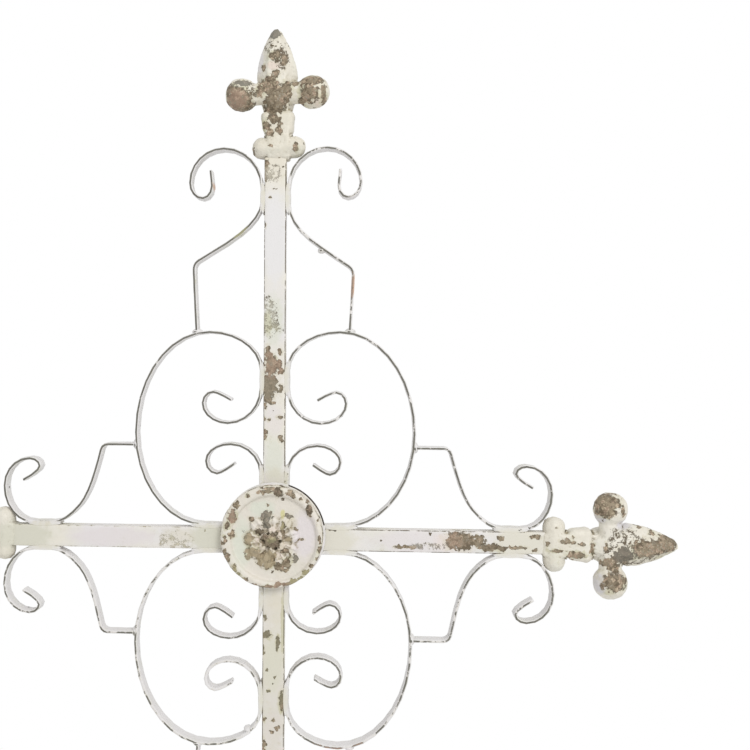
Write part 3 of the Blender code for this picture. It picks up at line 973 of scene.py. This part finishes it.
RIGHT_FINIAL_SPECKS = (
    (244.5, 6, 12.5, 6.5), (254.5, -11.5, 13, 4.5), (236, -4.5, 4.5, 9), (233, 25.5, 8.5, 7.5),
)
RIGHT_FINIAL_TINTS = (
    (PINK, ((235, 23, 6, 4), (240, -20, 5, 4)), 0.7),
    (OLIVE, ((224, 29, 3, 6), (234, -31, 6, 4), (213, -7, 5, 3)), 0.6),
    # Lilac grey on the left and lower sides of the balls: painted shade
    (SHADE_LILAC_GREY, ((229, -27, 5, 9), (229, 19, 5, 5), (246, 14, 8, 5)), 0.8),
)
RIGHT_FINIAL_IRON = ((IRON_SLATE, ((246, -6.5, 8, 6),), 0.75), (GREY_DARK, ((222, 29, 3, 8),), 0.5))
RIM_WORN = (
    (-29, 17.5, 3, 5), (-32.5, 10.5, 2, 3), (-26, 25, 2, 2.5), (-17.5, 31.5, 1.5, 2), (-1.5, 37.5, 6, 1),
    (-6, 34.5, 5, 1), (3.5, 34, 3, 3), (12, 34, 3.5, 1.5), (14.5, 32, 2, 1.5), (19.5, 29.5, 2.5, 1),
    (25.5, 21.5, 2, 4), (25, 28.5, 1, 1), (31.5, 14, 0.5, 2.5), (33, 2, 1, 3), (33.5, -6, 1.5, 2),
    (31, -12.5, 1.5, 1), (28.5, -18, 3, 2), (24, -22.5, 3, 2), (20, -26.5, 2.5, 1.5), (15, -29, 3, 2),
    (11, -31, 2.5, 1), (5.5, -31, 3, 1.5), (-1, -32.5, 3.5, 1.5), (-6.5, -33.5, 4.5, 1), (-14, -31.5, 3.5, 1),
    (-20, -28, 2, 1.5), (-25, -25, 2, 1.5), (-28, -20.5, 2, 2.5), (-33, -12.5, 2, 2.5), (-35, -8, 1.5, 2),
    (-36, -3, 1.5, 1.5), (-34.5, 0.5, 1, 2), (-29.5, 3.5, 2, 2.5), (-4, 25.5, 1, 1), (-23, -22, 1, 0.5),
    (20.5, 0.5, 2, 1), (-16, 15, 2.5, 1.5),
)
ROSETTE_TAN = (
    (-14.5, -8.5, 5, 3.5), (-18.5, -13, 1.5, 1), (-8, -14, 4, 4), (-2, -11, 4.5, 4), (-2.5, -16.5, 5, 3),
    (-18, 0.5, 3.5, 4), (11.5, 0.5, 2.5, 2),
)
ROSETTE_DARK = (
    (-5, -20.5, 1.5, 1.5), (4.5, -19, 3, 3), (9, -16.5, 3, 3.5), (7.5, -21.5, 3, 1), (16, -13, 2, 2.5),
    (-0.5, -1, 6, 5), (-6, 0, 2.5, 4.5), (-10, 5.5, 3.5, 2.5), (7, 5, 1.5, 4.5), (8.5, -7.5, 3.5, 1.5),
    (12, -11, 1, 2.5), (-5, 16.5, 3.5, 3.5), (-5.5, 11, 2.5, 3), (7, 10.5, 1.5, 4.5), (11.5, 17, 2.5, 1.5),
    (16.5, 8.5, 1.5, 1),
)
MEDALLION_TINTS = (
    (GREEN_WHITE, ((-22, -2, 9, 22), (-8, 22, 12, 8)), 1.0),
    (LILAC, ((22, 4, 11, 22),), 0.9),
    (PINK, ((-2, -2, 17, 17),), 0.6),
    (DINGY, ((13, 12, 6, 6),), 0.5),
    (YELLOW, ((6.5, 18.5, 2, 4.5),), 0.7),
)
MEDALLION_IRON = (
    (IRON_TAN, ROSETTE_TAN, 0.9),
    (GREY_IRON, ((-5, 14, 5, 7), (12, 16, 4, 3), (16, -13, 3, 3)), 0.6),
    (OLIVE, ((-1, 0, 3, 2), (20, -26, 12, 8), (-25, -24, 5, 6), (6.5, 12, 1.5, 4)), 0.55),
    (IRON_PINK, ((3, -31, 9, 4), (-29.5, 18, 3.5, 6)), 0.45),
    (EDGE, ((4, 34, 4, 4), (25, 21, 3, 4.5), (-10, 5.5, 3.5, 2.5), (1, -2, 4, 3)), 0.45),
)


def turned(places, shift=(0, 0)):
    """The same places turned by half a turn about the crossing, then shifted."""
    return tuple((shift[0] - x, shift[1] - z, wide, high) for x, z, wide, high in places)


def dress_bars():
    upright = painted_bar("upright_bar", 2, (TOP_ARM, -BOTTOM_ARM))
    paint = old_paint(
        "upright_paint",
        UPRIGHT_WORN,
        UPRIGHT_SPECKS,
        rub=on_corners(0.55),
        faded=0.66,
        warmth=0.6,
        iron_tints=UPRIGHT_IRON,
        coat_tints=UPRIGHT_TINTS,
    )
    hand_in(upright, paint, "bar_paint", "upright_bar")
    left = painted_bar("crossbar_left", 0, (-SIDE_ARM,))
    paint = old_paint(
        "left_arm_paint",
        specks=LEFT_SPECKS,
        rub=on_corners(0.4),
        chips=0.3,
        faded=0.6,
        iron=(SPECK_DARK, SPECK_LIGHT),
        coat_tints=LEFT_TINTS,
    )
    hand_in(left, paint, "bar_paint", "crossbar_left")
    right = painted_bar("crossbar_right", 0, (SIDE_ARM,))
    paint = old_paint(
        "right_arm_paint",
        RIGHT_WORN,
        RIGHT_SPECKS,
        rub=on_corners(0.5),
        chips=0.7,
        faded=0.4,
        warmth=0.6,
        iron_tints=RIGHT_IRON,
        coat_tints=RIGHT_TINTS,
    )
    hand_in(right, paint, "bar_paint", "crossbar_right")


# How far the front edge of each scroll is rubbed, from the words that its name starts with
RUBBED = {
    "small_scroll_upper": 0.9,
    "small_scroll_lower": 0.7,
    "c_scroll_upper_left": 0.75,
    "c_scroll_upper_right": 0.62,
    "c_scroll_lower_left": 0.45,
    "c_scroll_lower_right": 0.55,
    "left_end_scroll_upper": 0.9,
    "right_end_scroll_upper": 0.62,
    "left_end_scroll_lower": 0.55,
    "right_end_scroll_lower": 0.55,
    "top_end_scroll_left": 0.8,
    "top_end_scroll_right": 0.6,
    "bottom_end": 0.6,
}
SCROLL_TINTS = (
    (RUST, ((57, 182, 4, 10), (-43, 254, 3, 5)), 0.9),
    (OLIVE, ((-22, 75, 12, 4), (48, 78, 12, 4), (-28, 222, 8, 6)), 0.5),
    (OLIVE, ((-78, -52, 4, 14), (60, -104, 14, 12)), 0.5),
    (WELD_CREAM, ((0, 115, 14, 20), (0, -115, 14, 20), (0, 43, 14, 16), (0, -43, 14, 16)), 1.0),
    (WELD_CREAM, ((46, 0, 20, 14), (-46, 0, 20, 14), (168, 0, 20, 14), (-168, 0, 20, 14)), 1.0),
    (WELD_CREAM, ((0, 245, 14, 18), (0, -427, 14, 18)), 1.0),
)
SCROLL_IRON = (
    (OLIVE, ((-22, 75, 10, 4), (46, 80, 10, 4), (-28, 222, 8, 6)), 0.6),
    (OLIVE, ((-78, -52, 4, 12), (60, -104, 12, 10)), 0.6),
    (IRON_PINK, ((57, 182, 4, 10), (-43, 254, 3, 5), (50, -146, 20, 6)), 0.7),
)


def dress_scrolls():
    paints = {}
    for node in sorted(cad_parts):
        if "scroll" not in node:
            continue
        share = next(share for start, share in RUBBED.items() if node.startswith(start))
        if share not in paints:
            paints[share] = old_paint(
                f"strip_paint_{share:.2f}",
                rub=on_crest(share),
                chips=0.3,
                coat=(BRIGHT, COOL),
                iron=(GREY_DARK, GREY_IRON),
                warmth=0.12,
                iron_tints=SCROLL_IRON,
                coat_tints=SCROLL_TINTS,
                relief=0.25,
            )
        hand_in(painted_scroll(node), paints[share], "strip_paint", node)


def dress_castings():
    pattern = finial_pattern()
    top = ("top_casting_paint", TOP_WORN, TOP_SPECKS, TOP_TINTS, TOP_IRON)
    right = (
        "right_casting_paint", RIGHT_FINIAL_WORN, RIGHT_FINIAL_SPECKS, RIGHT_FINIAL_TINTS, RIGHT_FINIAL_IRON
    )
    # The last three places are on the collar, which is whole on the left
    left = (
        "left_casting_paint", turned(RIGHT_FINIAL_WORN[:-3]), turned(RIGHT_FINIAL_SPECKS), LEFT_TINTS[:1], ()
    )
    lower = (0, (TOP_ARM - BOTTOM_ARM) / MM)
    bottom = ("bottom_casting_paint", turned(TOP_WORN, lower), turned(TOP_SPECKS, lower), (), ())
    ends = (
        ("finial_top", 0, TOP_ARM, top),
        ("finial_right", 90, SIDE_ARM, right),
        ("finial_bottom", 180, BOTTOM_ARM, bottom),
        ("finial_left", 270, SIDE_ARM, left),
    )
    for node, turn, arm, (name, worn, specks, tints, irons) in ends:
        finial = place_finial(pattern, node, turn, arm, *SEATED[node])
        paint = old_paint(
            name,
            worn,
            specks,
            rub=on_high_parts(0.35),
            chips=0.6,
            flecks=0.7,
            crease_dirt_and_shade=0.8,
            coat=(CAST_GREY, CAST_WHITE),
            iron_tints=irons,
            coat_tints=tints,
            relief=0.7,
        )
        hand_in(finial, paint, "casting_paint", node)
    bpy.data.objects.remove(pattern)
    paint = old_paint(
        "medallion_paint",
        RIM_WORN + ROSETTE_TAN + ROSETTE_DARK,
        rub=on_rim(0.42),
        chips=0.4,
        crease_dirt_and_shade=0.8,
        crease_dirt_and_shade_in=((-0.8, -0.5, 20, 20),),
        coat=(PLAQUE_GREY, PLAQUE_WHITE),
        iron_tints=MEDALLION_IRON,
        coat_tints=MEDALLION_TINTS,
        relief=0.6,
    )
    hand_in(medallion(), paint, "casting_paint", "medallion")
    paint = old_paint("lip_paint", rub=on_lip, iron=(NEAR_BLACK, EDGE), warmth=0.1)
    hand_in(lip(), paint, "casting_paint", "medallion")


def studio():
    """A pale floor well below the cross, even light all round and one large soft light."""
    bpy.ops.mesh.primitive_circle_add(vertices=96, radius=1.4, fill_type="NGON", location=(0, 0, -0.75))
    floor = bpy.context.active_object
    floor.name = "floor"
    paint = Paint("floor_white")
    paint.feed(paint.shader.inputs["Base Color"], (0.95, 0.95, 0.95, 1.0))
    paint.feed(paint.shader.inputs["Roughness"], 0.9)
    floor.data.materials.append(paint.material)

    world = bpy.data.worlds.new("studio")
    world.use_nodes = True
    tree = world.node_tree
    background = tree.nodes["Background"]
    background.inputs["Color"].default_value = (1.0, 1.0, 1.0, 1.0)
    seen = tree.nodes.new("ShaderNodeLightPath").outputs["Is Camera Ray"]
    strength = tree.nodes.new("ShaderNodeMix")
    strength.inputs["A"].default_value = 0.76
    strength.inputs["B"].default_value = 1.0
    tree.links.new(seen, strength.inputs["Factor"])
    tree.links.new(strength.outputs["Result"], background.inputs["Strength"])
    bpy.context.scene.world = world
    bpy.context.scene.view_settings.view_transform = "Standard"

    bpy.ops.object.light_add(type="AREA", location=(0.9, -1.6, 1.3))
    lamp = bpy.context.active_object
    lamp.name = "soft_light"
    lamp.data.size = 0.8
    lamp.data.energy = 20
    lamp.rotation_euler = (Vector((0, 0, 0.1)) - lamp.location).to_track_quat("-Z", "Y").to_euler()


def camera():
    """Square on to the crossing from a little to the right, and framed off centre as in the picture."""
    data = bpy.data.cameras.new("camera")
    data.sensor_width = 36
    data.lens = 52.94
    data.shift_x = 0.1436
    data.shift_y = -0.0118
    data.clip_start = 0.05
    made = bpy.data.objects.new("camera", data)
    bpy.context.scene.collection.objects.link(made)
    made.location = (0.0562, -0.8020, 0.1242)
    made.rotation_euler = (math.pi / 2, math.radians(-0.25), math.radians(4.44))
    bpy.context.scene.camera = made


dress_bars()
dress_scrolls()
dress_castings()
studio()
camera()
